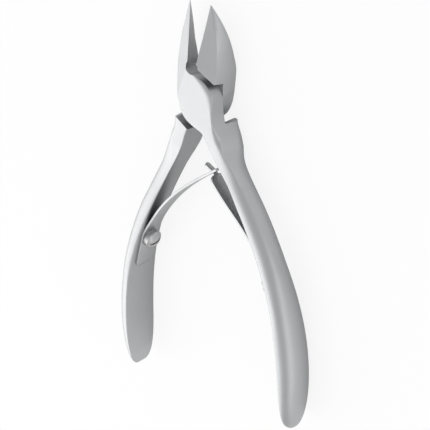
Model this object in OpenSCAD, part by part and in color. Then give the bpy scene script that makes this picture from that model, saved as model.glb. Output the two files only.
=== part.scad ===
// Cuticle nipper with a lap joint: two crossed levers on a flush rivet,
// pushed apart by two interlocking leaf springs.
// Each lever is drawn closed, with its cutting edge on the plane X = 0,
// and is then turned about the pivot, the Z axis, into the open rest pose.
// +Y points to the jaws, +Z to the front, and Z = 0 is the back of the joint.

/* [Joint] */
// Angle between the cutting edges at rest
open_angle = 15; // [8:0.5:20]
// Thickness of the joint, front to back
joint_t = 7.7; // [7:0.1:9]
// Radius of the round lap about the pivot
lap_r = 5.9; // [5.5:0.1:6.1]
// Rounding of the lap's outer edge
lap_round = 1.3; // [0.6:0.1:1.6]
// Turn of the straight wall above the lap, towards the lever's own jaw
jaw_wall_turn = 41; // [36:1:46]
// Distance from the pivot to the straight step below the lap
step_dist = 6.7; // [6.5:0.1:7.2]
// Turn of that step towards the lever's own handle
step_turn = 28; // [24:1:32]
// Radius of the arc that ends the lap under the jaw
heel_r = 15; // [14.5:0.1:15.5]
// Centre of the heel arc, across the lever
heel_x = 8.4; // [8:0.1:8.8]
// Centre of the heel arc, along the lever
heel_y = 6.7; // [6.4:0.1:7]
// Where the heel arc meets the handle, across the lever
crotch_x = 1.7; // [1.5:0.1:1.9]
// Radius of the pivot rivet's shank
rivet_r = 2; // [1.5:0.1:2.2]
// Radius of its countersunk heads, ground flush
rivet_head_r = 3; // [2.6:0.1:3.6]

/* [Jaws] */
// Distance from the pivot to the tips
tip_dist = 22.9; // [20:0.1:25]
// Distance from the pivot to the root of the cutting edges
root_dist = 9.2; // [8.8:0.1:10.5]
// Height of the edge above the middle plane at its root
edge_z_root = 3.4; // [3:0.1:3.6]
// Height of the edge above the middle plane at the tip
edge_z_tip = 0.2; // [0:0.1:1]
// Width of one jaw at its root
jaw_w = 5.6; // [4.8:0.1:6]
// Fullness of the jaw's outer curve
jaw_curve = 1.9; // [1.5:0.1:2.4]
// Tilt of the ground front face, away from the edge
facet_tilt = 22.5; // [16:0.5:26]
// Relief of the inner face, behind the edge
inner_relief = 30; // [20:1:34]
// Distance from the pivot where the ground face runs out into the lap
facet_end = 0.8; // [0:0.1:2]
// Width of the flat that is left beside the runout
facet_flat = 4.4; // [4:0.1:4.6]
// Blunt width of the tip
tip_w = 0.25; // [0.15:0.05:0.5]
// Radius of the relief hole at the root of the edges
relief_hole_r = 1.3; // [0.9:0.1:1.4]
// Distance of that hole from the pivot
relief_hole_y = 8.3; // [8:0.1:8.6]
// How far its centre lies past the edge plane
relief_hole_x = 0.45; // [0.2:0.05:0.7]

/* [Handles] */
// Root of the handle's middle line, beside the pivot
root_x = 3.8; // [3.5:0.1:4.1]
// Control point that draws the neck in, across
neck_x = 0.9; // [0.6:0.1:1.4]
// Control point that draws the neck in, below the pivot
neck_down = 17.3; // [16.5:0.1:18]
// Control point that bows the grip out, across
bow_x = 26.3; // [23:0.1:29]
// Control point that bows the grip out, below the pivot
bow_down = 36.2; // [34:0.1:39]
// End of the handle, across
end_x = 14.3; // [12:0.1:18]
// End of the handle, below the pivot
end_down = 77.5; // [72:0.5:90]
// Thickness of the handle where it leaves the lap
root_t = 3.9; // [3.4:0.1:4.2]
// Thickness of the shoulder below the lap
shoulder_t = 5; // [4.6:0.1:5.4]
// Thickness of the neck
neck_t = 4.1; // [3.7:0.1:4.6]
// Thickness of the grip
grip_t = 3.8; // [3.2:0.1:4.6]
// Depth of the handle at the joint
root_depth = 7.8; // [7.7:0.1:8.4]
// Depth of the neck
neck_depth = 5.9; // [5.2:0.1:6.8]
// Depth of the grip
grip_depth = 9.5; // [8:0.1:11]
// Distance along the handle to its shoulder
shoulder_at = 11; // [9:0.5:13]
// Distance along the handle to its neck
neck_at = 21; // [18:0.5:24]
// Distance along the handle to the full grip
grip_at = 64; // [58:0.5:66]
// Length over which the end rounds off, seen from the side
end_round = 17; // [12:0.5:20]
// Length over which the end thins, seen from the front
end_taper = 20; // [16:0.5:24]

/* [Springs] */
// Thickness of the spring leaves
leaf_t = 0.7; // [0.5:0.05:0.9]
// Width of a leaf at its foot
leaf_w = 3.8; // [3.2:0.1:4.4]
// Width of the slotted leaf at its tip
leaf_tip_w = 3; // [2.8:0.1:3.4]
// Distance along the handle to the middle of the foot
seat_at = 46.5; // [44:0.5:50]
// Length of the foot below that point
foot_down = 5.5; // [4.5:0.1:6.5]
// Length of the foot above that point
foot_up = 5.3; // [5:0.1:5.8]
// Length over which its flat runs out under the lifting leaf
seat_run = 5; // [4:0.5:6]
// Least depth of the flat that the foot lies on
seat_cut = 0.08; // [0.05:0.01:0.2]
// Angle at which a leaf lifts off its foot
leaf_lift = 10; // [6:1:14]
// Where the two leaves cross at rest, across
cross_x = 2.2; // [1:0.1:3]
// Where the two leaves cross at rest, below the pivot
cross_down = 17; // [16:0.1:19]
// Direction of the slotted leaf at the crossing
slot_leaf_dir = 34; // [28:1:40]
// Direction of the tongued leaf at the crossing
tongue_leaf_dir = 127; // [120:1:134]
// Bend of the tongue past the crossing
tongue_bend = 24; // [15:1:30]
// Width of the tongue
tongue_w = 1; // [0.8:0.1:1.3]
// Length of the tongue past the crossing
tongue_len = 2.7; // [2.4:0.1:3.2]
// Length of the tongue before the crossing
shoulder_gap = 0.8; // [0.7:0.1:1.4]
// Length of the slot
slot_len = 3.2; // [2.8:0.1:3.6]
// Length of the slotted leaf past the crossing
stub_len = 2.4; // [2.2:0.1:3]

/* [Screws] */
// Diameter of the domed screw head
head_d = 4.6; // [4:0.1:5]
// Height of the head
head_h = 1.9; // [1.5:0.1:2.2]
// Height of the head's straight rim
rim_h = 0.7; // [0.5:0.1:0.9]
// Radius of the screw's shank
shank_r = 1; // [0.8:0.05:1.2]
// Length of the shank in the handle
shank_len = 2; // [1.6:0.1:2.2]
// Distance of the screw above the middle of the foot
screw_up = 2.6; // [2:0.1:2.8]
// Width of the driver slot
driver_w = 0.55; // [0.4:0.05:0.7]
// Depth of the driver slot
driver_d = 0.6; // [0.4:0.05:0.8]
// Turn of the driver slot
driver_turn = 31; // [0:1:90]

/* [Clearances] */
// Gap between the two laps
lap_gap = 0.04; // [0.02:0.01:0.1]
// Gap between the cutting edges when closed
edge_gap = 0.06; // [0.04:0.01:0.1]
// Gap between a lap and the straight wall above it
lap_play = 0.8; // [0.5:0.05:1]
// Radial clearance of the rivet in the back lever
rivet_play = 0.03; // [0.01:0.01:0.1]
// Clearance of a screw's shank in its hole
thread_play = 0.02; // [0.01:0.01:0.05]
// Clearance of a screw's shank in the leaf
leaf_hole_play = 0.15; // [0.1:0.05:0.3]
// Clearance of the tongue in the slot, on each side
tongue_play = 0.25; // [0.15:0.05:0.35]

/* [Hidden] */
$fn = 64;
half_t = joint_t / 2;
half_open = open_angle / 2;
jaw_wall_dist = lap_r + lap_play;
// Reach of a cutting block past everything in the joint
far = 16;
// Height by which the jaws stand proud of the joint before its faces are ground flat
proud = 0.1;
// Distance below the pivot to which the faces are ground
ground_down = 8;
// Height above the pivot at which the heel arc leaves the jaw
heel_top = 0.4;
// How far the flat beside the heel reaches into the handle
heel_overlap = 1;
steel = [0.74, 0.75, 0.76];

// Blends, curves and arc lengths
function mix(a, b, k) = a + (b - a) * k;
function unit(v) = v / norm(v);
function turned(v, a) = [v[0] * cos(a) - v[1] * sin(a), v[0] * sin(a) + v[1] * cos(a)];
function heading(a) = [cos(a), sin(a)];
function bez(p, t) = pow(1 - t, 3) * p[0] + 3 * pow(1 - t, 2) * t * p[1]
                     + 3 * (1 - t) * t * t * p[2] + pow(t, 3) * p[3];
function bez_dir(p, t) = unit(pow(1 - t, 2) * (p[1] - p[0]) + 2 * (1 - t) * t * (p[2] - p[1])
                              + t * t * (p[3] - p[2]));
function ease(x) = let (c = min(1, max(0, x))) c * c * (3 - 2 * c);
function signed_pow(v, e) = sign(v) * pow(abs(v), e);

// Middle line of the handle, by distance along it
handle_curve = [[root_x, 0], [neck_x, -neck_down], [bow_x, -bow_down], [end_x, -end_down]];
arc_steps = 80;
arc = [for (i = 0, s = 0; i <= arc_steps;
            s = s + norm(bez(handle_curve, (i + 1) / arc_steps) - bez(handle_curve, i / arc_steps)),
            i = i + 1) [s, i / arc_steps]];
handle_len = arc[arc_steps][0];
function handle_mid(s) = bez(handle_curve, lookup(s, arc));
function handle_down(s) = bez_dir(handle_curve, lookup(s, arc));
function handle_out(s) = turned(handle_down(s), 90);

// Thickness and depth of the handle, by distance along it
// The handle keeps the depth of its root for half the way to the shoulder.
deep_to = shoulder_at / 2;
taper_power = 2;
round_power = 2.6;
function round_off(s, len, e) = pow(1 - pow(max(0, (s - handle_len + len) / len), e), 1 / e);
function handle_t(s) = round_off(s, end_taper, taper_power)
    * (s < shoulder_at ? mix(root_t, shoulder_t, ease(s / shoulder_at))
       : s < neck_at ? mix(shoulder_t, neck_t, ease((s - shoulder_at) / (neck_at - shoulder_at)))
       : mix(neck_t, grip_t, ease((s - neck_at) / (grip_at - neck_at))));
function handle_depth(s) = round_off(s, end_round, round_power)
    * (s < neck_at ? mix(root_depth, neck_depth, ease((s - deep_to) / (neck_at - deep_to)))
                   : mix(neck_depth, grip_depth, ease((s - neck_at) / (grip_at - neck_at))));

// Section of the handle: a flat inner face and a convex outer one
inner_share = 0.35;
outer_power_root = 4;
outer_power_grip = 2.2;
inner_power_root = 6;
inner_power_end = 3.2;
section_steps = 24;
function handle_section(s) =
    let (m = handle_mid(s), out = handle_out(s), t = handle_t(s), d = handle_depth(s),
         outer_power = mix(outer_power_root, outer_power_grip,
                           ease((s - shoulder_at) / (neck_at - shoulder_at))),
         inner_power = mix(inner_power_root, inner_power_end, s / handle_len))
    [for (i = [0 : section_steps - 1])
        let (a = -360 * i / section_steps, c = cos(a), w = sin(a),
             e = 2 / (c >= 0 ? outer_power : inner_power),
             q = signed_pow(c, e) * (c >= 0 ? 1 - inner_share : inner_share),
             p = m + out * t * (q + inner_share - 0.5))
        [p[0], p[1], signed_pow(w, e) * d / 2]];

// Stations along the handle, closer together towards its round end
body_steps = 22;
end_steps = 9;
end_angle = 88;
handle_stations = concat(
    [for (i = [0 : body_steps]) (handle_len - end_round) * i / body_steps],
    [for (i = [1 : end_steps]) handle_len - end_round + end_round * sin(end_angle * i / end_steps)]);

// Section of the jaw at distance y from the pivot, as [outward, up] points: edge, ground front face,
// rounded outer side and back, relieved inner face. On a lapped jaw the ground face runs out into the lap.
fold_lean = 0.8;
fold_lean_gain = 0.5;
lean_share = 0.4;
root_round = 0.4;
back_round = 0.9;
round_gain = 3;
round_share = 0.6;
corner_from = 0.6;
outer_steps = 8;
root_taper = 0.003;
edge_rise_len = 1.2;
relief_end_len = 2;
merge_y = 6.9;
merge_len = 3.8;
merge_depth = 3.5;
tip_drop = 0.15;
tilt_fade = 0.4;
back_curve = 1.3;
flat_share = 0.2;
least_flat = 0.02;
relief_share = 0.7;
function along_jaw(y) = max(0, (y - root_dist) / (tip_dist - root_dist));
function below_root(y) = max(0, root_dist - y);
function jaw_outer(y) = mix(jaw_w, tip_w, pow(along_jaw(y), jaw_curve)) - root_taper * pow(below_root(y), 2);
function jaw_top(y, lapped) =
    lapped && y < root_dist ? mix(edge_z_root, half_t + proud, ease(below_root(y) / edge_rise_len))
                            : mix(edge_z_root, edge_z_tip, along_jaw(y));
function jaw_back(y) = mix(-half_t - proud, edge_z_tip - tip_drop, pow(along_jaw(y), back_curve));
function jaw_tilt(y) = facet_tilt * (1 - tilt_fade * along_jaw(y));
function jaw_inner(y) = edge_gap / 2 - merge_depth * ease((merge_y - y) / merge_len);
function jaw_flat(y, lapped) =
    lapped && y < root_dist ? max(facet_flat * min(1, below_root(y) / (root_dist - facet_end)),
                                  jaw_inner(y) + least_flat)
                            : mix(jaw_inner(y), jaw_outer(y), flat_share);
function jaw_flat_drop(y, lapped) =
    lapped && y < root_dist ? 0 : (jaw_flat(y, lapped) - jaw_inner(y)) * tan(jaw_tilt(y));
function jaw_relief(y, lapped) =
    mix((jaw_top(y, lapped) - jaw_back(y)) * tan(inner_relief), 0, ease(below_root(y) / relief_end_len));
function jaw_section(y, lapped) =
    let (x0 = jaw_inner(y), x1 = jaw_flat(y, lapped), x2 = jaw_outer(y), back = jaw_back(y),
         lean = min(fold_lean + fold_lean_gain * along_jaw(y), lean_share * (x2 - x0)),
         top = jaw_top(y, lapped), flat_z = top - jaw_flat_drop(y, lapped),
         fold_z = flat_z - (x2 - lean - x1) * tan(jaw_tilt(y)),
         x3 = x0 + min(jaw_relief(y, lapped), relief_share * (x2 - x0)),
         full_round = mix(root_round, back_round, min(1, round_gain * along_jaw(y))),
         corner = min(full_round, round_share * (x2 - x3)))
    concat([[x0, top], [x1, flat_z]],
           [for (i = [0 : outer_steps]) let (k = sin(90 * i / outer_steps), q = max(0, k - corner_from))
               [x2 - lean * pow(1 - k, 2) - corner * (1 - sqrt(1 - pow(q / (1 - corner_from), 2))),
                mix(fold_z, back, k)]],
           [[x3, back]]);
jaw_low = -3.5;
jaw_steps = 30;
jaw_stations = [for (i = [0 : jaw_steps]) mix(jaw_low, tip_dist, sin(90 * i / jaw_steps))];

// A skin of triangles over rings of points, closed at both ends
module loft(rings) {
    n = len(rings[0]);
    last = len(rings) - 1;
    points = [for (r = rings) each r];
    sides = [for (j = [0 : last - 1], i = [0 : n - 1])
        let (k = (i + 1) % n, a = j * n + i, b = j * n + k, c = a + n, d = b + n)
        each [[a, b, c], [b, d, c]]];
    first_cap = [for (i = [0 : n - 3]) [n - 1, i + 1, i]];
    last_cap = [for (i = [0 : n - 3]) [last * n + n - 1, last * n + i, last * n + i + 1]];
    polyhedron(points, concat(sides, first_cap, last_cap), convexity = 6);
}

module handle() {
    loft([for (s = handle_stations) handle_section(s)]);
}

module jaw(lapped) {
    loft([for (y = jaw_stations) [for (p = jaw_section(y, lapped)) [-p[0], y, p[1]]]]);
}

// The lap in the front half: round about the pivot with a soft outer edge,
// and flat to the heel arc where it meets the handle
module lap_half() {
    rotate_extrude() {
        square([lap_r - lap_round, half_t]);
        square([lap_r, half_t - lap_round]);
        translate([lap_r - lap_round, half_t - lap_round])
            circle(lap_round);
    }
    linear_extrude(half_t)
        intersection() {
            translate([heel_x, heel_y])
                circle(heel_r);
            translate([-lap_r, -far])
                square([lap_r + crotch_x + heel_overlap, far]);
        }
}

// The slot in the back half, between the jaw and the step, that the other lever's lap turns in
module recess() {
    translate([0, 0, -far + lap_gap / 2])
        linear_extrude(far)
            intersection() {
                rotate(jaw_wall_turn)
                    translate([-2 * far, jaw_wall_dist - 4 * far])
                        square(4 * far);
                rotate(step_turn)
                    translate([-2 * far, -step_dist])
                        square(4 * far);
            }
}

// The space below the heel arc, under the jaw
module heel_cut() {
    translate([0, 0, -far])
        linear_extrude(2 * far)
            difference() {
                translate([-far, -far])
                    square([far + crotch_x, far + heel_top]);
                translate([heel_x, heel_y])
                    circle(heel_r);
            }
}

// Rivet with a cone at each end, or the hole for it
module rivet_form(play) {
    cone = rivet_head_r - rivet_r;
    rotate_extrude()
        polygon([[0, -half_t], [rivet_head_r + play, -half_t], [rivet_r + play, cone - half_t],
                 [rivet_r + play, half_t - cone], [rivet_head_r + play, half_t], [0, half_t]]);
}

// Seat of a spring's foot on the handle: +X points inwards and +Y down the handle
seat_point = handle_mid(seat_at) - handle_out(seat_at) * (handle_t(seat_at) / 2 - seat_cut);
seat_angle = atan2(handle_down(seat_at)[1], handle_down(seat_at)[0]) - 90;
function on_seat(x, y) = seat_point + turned([x, y], seat_angle);

module at_seat() {
    translate([seat_point[0], seat_point[1], 0])
        rotate(seat_angle)
            children();
}

module seat_flat() {
    open_x = leaf_t + head_h;
    run_y = -foot_up - seat_run;
    at_seat()
        linear_extrude(2 * far, center = true)
            polygon([[0, foot_down], [0, -foot_up], [seat_run * tan(leaf_lift), run_y],
                     [open_x, run_y], [open_x, foot_down]]);
}

module screw_hole(r, depth) {
    at_seat()
        translate([0, -screw_up, 0])
            rotate([0, 90, 0])
                translate([0, 0, -depth])
                    cylinder(r = r, h = depth + leaf_t + head_h);
}

// One lever, closed, with its jaw on the left and its handle on the right.
// lap is 1 where the lap is the front half and -1 where it is the back half.
module lever(lap, rivet_gap) {
    difference() {
        union() {
            scale_z(lap) lap_half();
            jaw(lap > 0);
            handle();
        }
        for (side = [-1, 1])
            translate([-far, -ground_down, side > 0 ? half_t : -half_t - far])
                cube([2 * far, 3 * far, far]);
        scale_z(lap) recess();
        heel_cut();
        rivet_form(rivet_gap);
        translate([relief_hole_x, relief_hole_y, -far])
            cylinder(r = relief_hole_r, h = 2 * far);
        seat_flat();
        screw_hole(shank_r + thread_play, shank_len + thread_play);
    }
}

module scale_z(lap) {
    if (lap > 0) children();
    else mirror([0, 0, 1]) children();
}

// Rest pose of a piece on the front lever, and of one on the back lever
module on_front() {
    translate([0, 0, half_t]) rotate(half_open) children();
}

module on_back() {
    translate([0, 0, half_t]) rotate(-half_open) mirror([1, 0, 0]) children();
}

// Middle line of a leaf from its foot to its tip, in the frame of the lever that carries it,
// as [point, direction] stations
leaf_steps = 22;
leaf_reach = 12;
cross_reach = 13;
foot_bottom = on_seat(leaf_t / 2, foot_down);
foot_top = on_seat(leaf_t / 2, -foot_up);
foot_dir = unit(foot_top - foot_bottom);
lift_dir = turned(foot_dir, leaf_lift);
function leaf_stations(cross, dir) =
    let (curve = [foot_top, foot_top + lift_dir * leaf_reach, cross - dir * cross_reach, cross])
    concat([[foot_bottom, foot_dir], [foot_top, unit(foot_dir + lift_dir)]],
           [for (i = [1 : leaf_steps]) let (t = i / leaf_steps) [bez(curve, t), bez_dir(curve, t)]]);

// Crossing point and directions, seen from the front lever and from the mirrored back lever
function flipped(v) = [-v[0], v[1]];
cross_point = [cross_x, -cross_down];
tongue_cross = turned(cross_point, -half_open);
tongue_dir = heading(tongue_leaf_dir - half_open);
tongue_tip_dir = turned(tongue_dir, tongue_bend);
slot_cross = turned(flipped(cross_point), -half_open);
slot_dir = turned(flipped(heading(slot_leaf_dir)), -half_open);

// A leaf along stations, trimmed to a plan: half widths by distance past the crossing
module leaf(stations, cross, dir, plan) {
    last = len(stations) - 1;
    sides = [for (s = stations) turned(s[1], 90) * leaf_t / 2];
    difference() {
        intersection() {
            linear_extrude(2 * leaf_w, center = true)
                polygon(concat([for (i = [0 : last]) stations[i][0] + sides[i]],
                               [for (i = [last : -1 : 0]) stations[i][0] - sides[i]]));
            translate([cross[0], cross[1], 0])
                rotate(atan2(dir[1], dir[0]))
                    rotate([90, 0, 0])
                        linear_extrude(6 * far, center = true)
                            polygon(concat(plan, [for (i = [len(plan) - 1 : -1 : 0])
                                [plan[i][0], -plan[i][1]]]));
        }
        screw_hole(shank_r + leaf_hole_play, shank_len);
    }
}

// Distance from the crossing over which a leaf narrows, and the blunt corner of its tip
narrow_len = 18;
tip_corner = 0.5;

module tongued_leaf() {
    shoulder = tongue_cross - tongue_dir * shoulder_gap;
    tip = tongue_cross + tongue_tip_dir * tongue_len;
    leaf(concat(leaf_stations(shoulder, tongue_dir),
                [[tongue_cross, unit(tongue_dir + tongue_tip_dir)], [tip, tongue_tip_dir]]),
         tongue_cross, tongue_dir,
         [[-4 * far, leaf_w / 2], [-shoulder_gap - tip_corner, leaf_w / 2],
          [-shoulder_gap, leaf_w / 2 - tip_corner], [-shoulder_gap, tongue_w / 2],
          [tongue_len, tongue_w / 2]]);
}

module slotted_leaf() {
    slot_w = tongue_w + 2 * tongue_play;
    difference() {
        leaf(concat(leaf_stations(slot_cross, slot_dir), [[slot_cross + slot_dir * stub_len, slot_dir]]),
             slot_cross, slot_dir,
             [[-4 * far, leaf_w / 2], [-narrow_len, leaf_w / 2], [0, leaf_tip_w / 2],
              [stub_len - tip_corner, leaf_tip_w / 2],
              [stub_len + tip_corner, leaf_tip_w / 2 - 2 * tip_corner]]);
        translate([slot_cross[0], slot_cross[1], 0])
            rotate(atan2(slot_dir[1], slot_dir[0]))
                cube([slot_len, 4 * leaf_t, slot_w], center = true);
    }
}

// Domed screw on the foot, its shank in the handle
module spring_screw() {
    dome_h = head_h - rim_h;
    dome_r = (pow(head_d / 2, 2) + pow(dome_h, 2)) / (2 * dome_h);
    at_seat()
        translate([leaf_t, -screw_up, 0])
            rotate([0, 90, 0])
                rotate(driver_turn)
                    difference() {
                        rotate_extrude()
                            intersection() {
                                union() {
                                    translate([0, head_h - dome_r])
                                        circle(dome_r);
                                    translate([0, -leaf_t - shank_len])
                                        square([shank_r, leaf_t + shank_len]);
                                }
                                union() {
                                    square([head_d / 2, head_h]);
                                    translate([0, -leaf_t - shank_len])
                                        square([shank_r, leaf_t + shank_len]);
                                }
                            }
                        translate([-head_d, -driver_w / 2, head_h - driver_d])
                            cube([2 * head_d, driver_w, head_h]);
                    }
}

module front_lever() {
    color(steel) on_front() lever(1, 0);
}

module back_lever() {
    color(steel) on_back() lever(-1, rivet_play);
}

module pivot_rivet() {
    color(steel) on_front() rivet_form(0);
}

module left_spring() {
    color(steel) on_back() slotted_leaf();
}

module right_spring() {
    color(steel) on_front() tongued_leaf();
}

module left_spring_screw() {
    color(steel) on_back() spring_screw();
}

module right_spring_screw() {
    color(steel) on_front() spring_screw();
}

front_lever();
back_lever();
pivot_rivet();
left_spring();
right_spring();
left_spring_screw();
right_spring_screw();
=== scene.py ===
"""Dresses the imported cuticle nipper: smooth levers, springs and screws, satin steel, light and camera.

Each lever is drawn closed and in millimetres, with its jaw on the left, its handle on the right and
z = 0 on the middle plane of the joint. It is then turned about the pivot into the open rest pose.
"""

import logging
import math
from dataclasses import dataclass, field
from enum import Enum
from typing import TypeVar

import bmesh
import bpy
import numpy as np
from mathutils import Matrix, Quaternion, Vector

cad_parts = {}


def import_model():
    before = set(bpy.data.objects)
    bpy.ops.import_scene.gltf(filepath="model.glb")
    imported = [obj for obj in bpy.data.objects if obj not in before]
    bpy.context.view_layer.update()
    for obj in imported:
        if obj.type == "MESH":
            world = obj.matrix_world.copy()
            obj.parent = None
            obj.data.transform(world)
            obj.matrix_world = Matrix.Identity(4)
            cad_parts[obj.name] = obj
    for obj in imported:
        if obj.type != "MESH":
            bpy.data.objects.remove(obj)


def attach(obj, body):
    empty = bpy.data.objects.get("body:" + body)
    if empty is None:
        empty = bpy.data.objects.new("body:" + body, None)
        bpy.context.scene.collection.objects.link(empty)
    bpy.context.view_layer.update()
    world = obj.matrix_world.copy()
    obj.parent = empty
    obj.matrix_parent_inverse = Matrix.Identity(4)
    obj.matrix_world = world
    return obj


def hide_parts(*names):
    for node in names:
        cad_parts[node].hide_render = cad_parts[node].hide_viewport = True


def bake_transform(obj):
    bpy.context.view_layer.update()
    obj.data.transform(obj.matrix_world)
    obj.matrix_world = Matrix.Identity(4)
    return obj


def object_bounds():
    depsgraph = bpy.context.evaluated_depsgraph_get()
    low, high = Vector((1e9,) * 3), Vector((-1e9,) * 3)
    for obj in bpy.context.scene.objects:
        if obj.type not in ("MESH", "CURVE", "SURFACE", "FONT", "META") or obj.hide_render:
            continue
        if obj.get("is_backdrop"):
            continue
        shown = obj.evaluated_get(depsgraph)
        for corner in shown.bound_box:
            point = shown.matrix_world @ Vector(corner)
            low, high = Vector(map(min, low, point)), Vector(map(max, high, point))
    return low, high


log = logging.getLogger("cuticle_nipper")

MM = 0.001
# Points closer than this, in millimetres, become one.
WELD = 1e-4
# Sides of a round body.
ROUND_STEPS = 64

Point2 = tuple[float, float]
Inputs = dict[str, object]
Amount = TypeVar("Amount", float, np.ndarray)


class LapSide(Enum):
    """The half of the joint that a lever's lap fills."""

    FRONT = 1
    BACK = -1


# Small tools


def linear(hex_colour: str) -> tuple[float, float, float, float]:
    """Turns an sRGB hex colour into linear RGBA.

    Args:
        hex_colour: Six hex digits, with or without a leading '#'.

    Returns:
        The linear colour with full opacity.
    """
    digits = hex_colour.lstrip("#")
    parts = [int(digits[i : i + 2], 16) / 255 for i in (0, 2, 4)]
    red, green, blue = (
        c / 12.92 if c <= 0.04045 else ((c + 0.055) / 1.055) ** 2.4 for c in parts
    )
    return (red, green, blue, 1.0)


def mix(a: Amount, b: Amount, k: float) -> Amount:
    """Blends from a to b by the share k."""
    return a + (b - a) * k


def ease(x: float) -> float:
    """Gives a soft step from 0 to 1 as x goes from 0 to 1."""
    c = min(1.0, max(0.0, x))
    return c * c * (3 - 2 * c)


def fade(x: float, start: float, end: float) -> float:
    """Gives a soft step from 0 at start to 1 at end."""
    return ease((x - start) / (end - start))


def turned(v: Point2, degrees: float) -> np.ndarray:
    """Turns a plan vector anticlockwise."""
    a = math.radians(degrees)
    return np.array([v[0] * math.cos(a) - v[1] * math.sin(a), v[0] * math.sin(a) + v[1] * math.cos(a)])


def heading(degrees: float) -> np.ndarray:
    """Gives the plan direction at an angle from +X."""
    return turned((1.0, 0.0), degrees)


def bezier(points: np.ndarray, t: float) -> np.ndarray:
    """Gives the point at t on a cubic curve."""
    k = np.array([(1 - t) ** 3, 3 * (1 - t) ** 2 * t, 3 * (1 - t) * t * t, t**3])
    return k @ points


def bezier_dir(points: np.ndarray, t: float) -> np.ndarray:
    """Gives the unit direction at t on a cubic curve.

    Args:
        points: The curve's four control points, one per row.
        t: From 0 at its start to 1 at its end.

    Returns:
        The direction.
    """
    k = np.array([(1 - t) ** 2, 2 * (1 - t) * t, t * t])
    v = k @ np.diff(points, axis=0)
    return v / np.linalg.norm(v)


def along(path: np.ndarray, share: float) -> np.ndarray:
    """Gives the point at a share of a polyline's length.

    Args:
        path: The polyline's points, one per row.
        share: From 0 at its start to 1 at its end.

    Returns:
        The point.
    """
    reach = np.concatenate([[0.0], np.cumsum(np.linalg.norm(np.diff(path, axis=0), axis=1))])
    return np.array([np.interp(share * reach[-1], reach, path[:, i]) for i in range(path.shape[1])])


def softened(path: np.ndarray, samples: int, width: int) -> np.ndarray:
    """Resamples a polyline evenly and rounds its corners off.

    Args:
        path: The polyline's points, one per row.
        samples: How many points the result has.
        width: How many neighbours on each side a point is averaged over.

    Returns:
        The softened polyline, with the same two ends.
    """
    even = np.array([along(path, i / (samples - 1)) for i in range(samples)])
    out = even.copy()
    for i in range(samples):
        w = min(width, i, samples - 1 - i)
        out[i] = even[i - w : i + w + 1].mean(axis=0)
    return out


def looked_up(table: tuple[Point2, ...], x: float, blur: float) -> float:
    """Reads a table of places and values.

    Args:
        table: The places in rising order, each with its value.
        x: The place to read.
        blur: How far to each side the value is averaged.

    Returns:
        The value there, without kinks.
    """
    places, values = zip(*table)
    around = np.linspace(x - blur, x + blur, 9)
    return float(np.interp(around, places, values).mean())


def add_node(
    tree: bpy.types.NodeTree, kind: str, settings: Inputs | None = None, **inputs: object
) -> bpy.types.Node:
    """Adds a node, sets its properties and fills or links its inputs.

    Args:
        tree: The node tree.
        kind: Blender's name of the node type.
        settings: Properties of the node itself.
        **inputs: Input sockets by name with _ for a space, or by place as in_0, each with a value or an
            output socket.

    Returns:
        The new node.
    """
    node = tree.nodes.new(kind)
    for name, value in (settings or {}).items():
        setattr(node, name, value)
    for name, value in inputs.items():
        key = int(name[3:]) if name.startswith("in_") else name.replace("_", " ")
        socket = node.inputs[key]
        if isinstance(value, bpy.types.NodeSocket):
            tree.links.new(value, socket)
        else:
            socket.default_value = value
    return node


def new_object(name: str, mesh: bpy.types.Mesh) -> bpy.types.Object:
    """Links a mesh into the scene as an object at the origin.

    Args:
        name: Name of the object.
        mesh: Its mesh.

    Returns:
        The object.
    """
    obj = bpy.data.objects.new(name, mesh)
    bpy.context.scene.collection.objects.link(obj)
    return obj


def applied(obj: bpy.types.Object) -> bpy.types.Mesh:
    """Turns an object's modifiers into plain mesh and takes them off.

    Args:
        obj: The object, which keeps its name and gets the new mesh.

    Returns:
        The new mesh.
    """
    graph = bpy.context.evaluated_depsgraph_get()
    mesh = bpy.data.meshes.new_from_object(obj.evaluated_get(graph))
    obj.modifiers.clear()
    obj.data = mesh
    return mesh


def tidied(mesh: bpy.types.Mesh, merge: float, sharp_deg: float) -> None:
    """Merges doubles, points the faces outwards and smooths all but the sharp edges.

    Args:
        mesh: The mesh to change.
        merge: Distance, in the mesh's own units, under which points become one.
        sharp_deg: Angle between faces from which an edge stays sharp.
    """
    bm = bmesh.new()
    bm.from_mesh(mesh)
    bmesh.ops.remove_doubles(bm, verts=bm.verts, dist=merge)
    bmesh.ops.dissolve_degenerate(bm, edges=bm.edges, dist=merge)
    bmesh.ops.recalc_face_normals(bm, faces=bm.faces)
    bm.to_mesh(mesh)
    bm.free()
    mesh.shade_smooth()
    mesh.set_sharp_from_angle(angle=math.radians(sharp_deg))


# Finishes


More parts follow.
